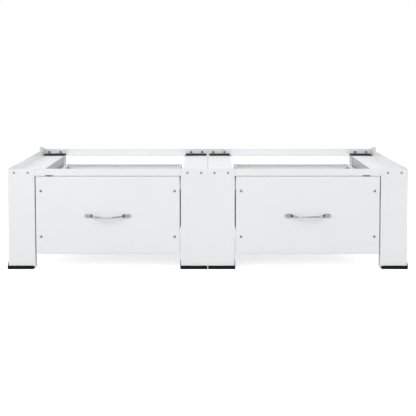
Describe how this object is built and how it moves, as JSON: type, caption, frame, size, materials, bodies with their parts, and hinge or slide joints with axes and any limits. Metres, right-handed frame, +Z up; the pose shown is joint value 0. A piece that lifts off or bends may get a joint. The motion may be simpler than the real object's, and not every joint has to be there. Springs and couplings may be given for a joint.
{
  "type": "washer pedestal drawer",
  "caption": "Folded white steel pedestal that carries two laundry machines side by side, with a sliding storage drawer in each bay.",
  "frame": {"origin": "on the floor, under the centre of the whole object's bounding box", "axes": "+X to the right along the pedestal's length, +Y towards the rear, +Z up; the drawers open towards -Y"},
  "size_m": [1.266, 0.5716, 0.337],
  "materials": {
    "white_paint": "satin",
    "black_rubber": "matte",
    "chrome": "polished",
    "zinc_steel": "satin"
  },
  "bodies": {
    "stand": {"front_left_leg": "white_paint", "front_left_rail": "white_paint", "front_left_foot": "black_rubber", "front_centre_left_foot": "black_rubber", "front_left_pad": "black_rubber", "front_centre_left_pad": "black_rubber", "front_right_leg": "white_paint", "front_right_rail": "white_paint", "front_right_foot": "black_rubber", "front_centre_right_foot": "black_rubber", "front_right_pad": "black_rubber", "front_centre_right_pad": "black_rubber", "front_centre_leg": "white_paint", "rear_left_leg": "white_paint", "rear_left_rail": "white_paint", "rear_left_foot": "black_rubber", "rear_centre_left_foot": "black_rubber", "rear_left_pad": "black_rubber", "rear_centre_left_pad": "black_rubber", "rear_right_leg": "white_paint", "rear_right_rail": "white_paint", "rear_right_foot": "black_rubber", "rear_centre_right_foot": "black_rubber", "rear_right_pad": "black_rubber", "rear_centre_right_pad": "black_rubber", "rear_centre_leg": "white_paint", "left_outer_beam": "white_paint", "left_centre_beam": "white_paint", "left_bay_left_slide_outer": "zinc_steel", "left_bay_right_slide_outer": "zinc_steel", "right_outer_beam": "white_paint", "right_centre_beam": "white_paint", "right_bay_left_slide_outer": "zinc_steel", "right_bay_right_slide_outer": "zinc_steel"},
    "slide_middle_left": {"left_bay_left_slide_middle": "zinc_steel", "left_bay_right_slide_middle": "zinc_steel"},
    "drawer_left": {"left_bay_left_slide_inner": "zinc_steel", "left_drawer_left_wall": "white_paint", "left_drawer_left_handle_screw": "zinc_steel", "left_bay_right_slide_inner": "zinc_steel", "left_drawer_right_wall": "white_paint", "left_drawer_right_handle_screw": "zinc_steel", "left_drawer_front": "white_paint", "left_drawer_back": "white_paint", "left_drawer_bottom": "white_paint", "left_drawer_handle": "chrome"},
    "slide_middle_right": {"right_bay_left_slide_middle": "zinc_steel", "right_bay_right_slide_middle": "zinc_steel"},
    "drawer_right": {"right_bay_left_slide_inner": "zinc_steel", "right_drawer_left_wall": "white_paint", "right_drawer_left_handle_screw": "zinc_steel", "right_bay_right_slide_inner": "zinc_steel", "right_drawer_right_wall": "white_paint", "right_drawer_right_handle_screw": "zinc_steel", "right_drawer_front": "white_paint", "right_drawer_back": "white_paint", "right_drawer_bottom": "white_paint", "right_drawer_handle": "chrome"}
  },
  "joints": [
    {"name": "drawer_left_slide", "type": "slide", "parent": "stand", "child": "drawer_left", "axis": [0, -1, 0], "range_m": [0, 0.4]},
    {"name": "slide_middle_left_slide", "type": "slide", "parent": "stand", "child": "slide_middle_left", "axis": [0, -1, 0], "range_m": [0, 0.2]},
    {"name": "drawer_right_slide", "type": "slide", "parent": "stand", "child": "drawer_right", "axis": [0, -1, 0], "range_m": [0, 0.4]},
    {"name": "slide_middle_right_slide", "type": "slide", "parent": "stand", "child": "slide_middle_right", "axis": [0, -1, 0], "range_m": [0, 0.2]}
  ],
  "couplings": [
    {"joint": "slide_middle_left_slide", "follows": "drawer_left_slide", "ratio": 0.5},
    {"joint": "slide_middle_right_slide", "follows": "drawer_right_slide", "ratio": 0.5}
  ]
}
